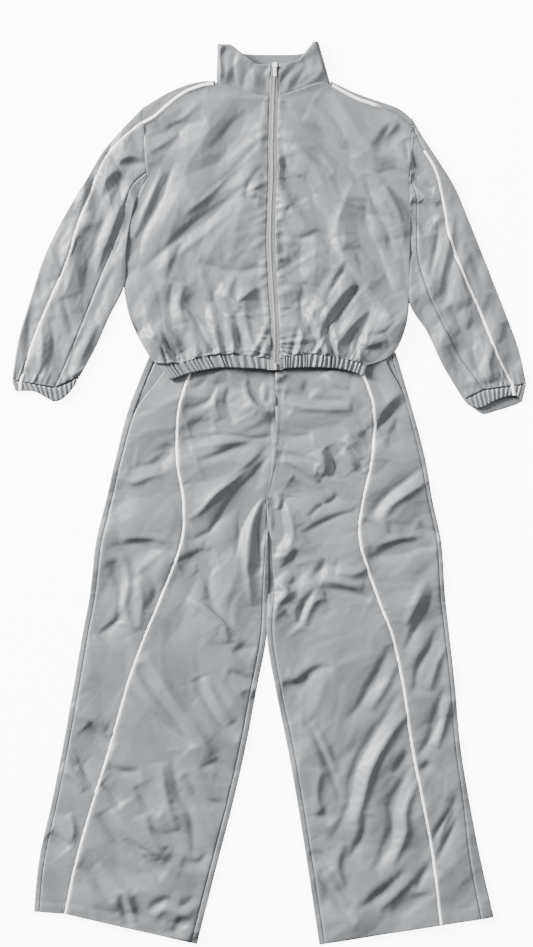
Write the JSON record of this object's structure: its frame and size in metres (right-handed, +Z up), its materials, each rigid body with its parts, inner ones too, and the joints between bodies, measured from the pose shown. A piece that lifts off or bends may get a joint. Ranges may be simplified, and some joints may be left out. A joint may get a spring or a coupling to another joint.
{
  "type": "tracksuit laid flat",
  "caption": "Nylon tracksuit laid flat: a zip jacket with stand collar, gathered hem and cuffs, over wide straight trousers, with white piping down sleeves and legs.",
  "frame": {"origin": "centre of the laid-out suit's plan box, on the surface it rests on", "axes": "+X towards the wearer's left sleeve, +Y towards the collar, +Z up from the surface it lies on"},
  "size_m": [0.9016, 1.5816, 0.0212],
  "materials": {
    "cloth": "light grey nylon with a soft sheen",
    "piping": "white satin piping",
    "zip_tape": "matt woven tape",
    "zip_metal": "pale grey satin coating",
    "zip_plastic": "white satin"
  },
  "bodies": {
    "suit": {"jacket_front_right": "cloth", "jacket_front_left": "cloth", "jacket_back": "cloth", "sleeve_right_front": "cloth", "sleeve_right_back": "cloth", "sleeve_left_front": "cloth", "sleeve_left_back": "cloth", "collar": "cloth", "hem_band": "cloth", "cuff_right": "cloth", "cuff_left": "cloth", "trouser_front_right": "cloth", "trouser_front_left": "cloth", "trouser_side_right": "cloth", "trouser_side_left": "cloth", "trouser_back_right": "cloth", "trouser_back_left": "cloth", "pocket_facing_right": "cloth", "pocket_facing_left": "cloth", "waistband": "cloth", "piping_shoulder_right": "piping", "piping_shoulder_left": "piping", "piping_sleeve_right": "piping", "piping_sleeve_left": "piping", "piping_trouser_right": "piping", "piping_trouser_left": "piping", "zip_tape_right": "zip_tape", "zip_tape_left": "zip_tape", "zip_slider": "zip_metal", "zip_retainer": "zip_plastic"},
    "zip_pull": {"zip_pull_tab": "zip_metal"}
  },
  "joints": [
    {"name": "zip_pull_hinge", "type": "hinge", "parent": "suit", "child": "zip_pull", "pos_m": [0.00967, 0.74675, 0.01966], "axis": [-1, 0, 0], "range_deg": [0, 150]}
  ]
}
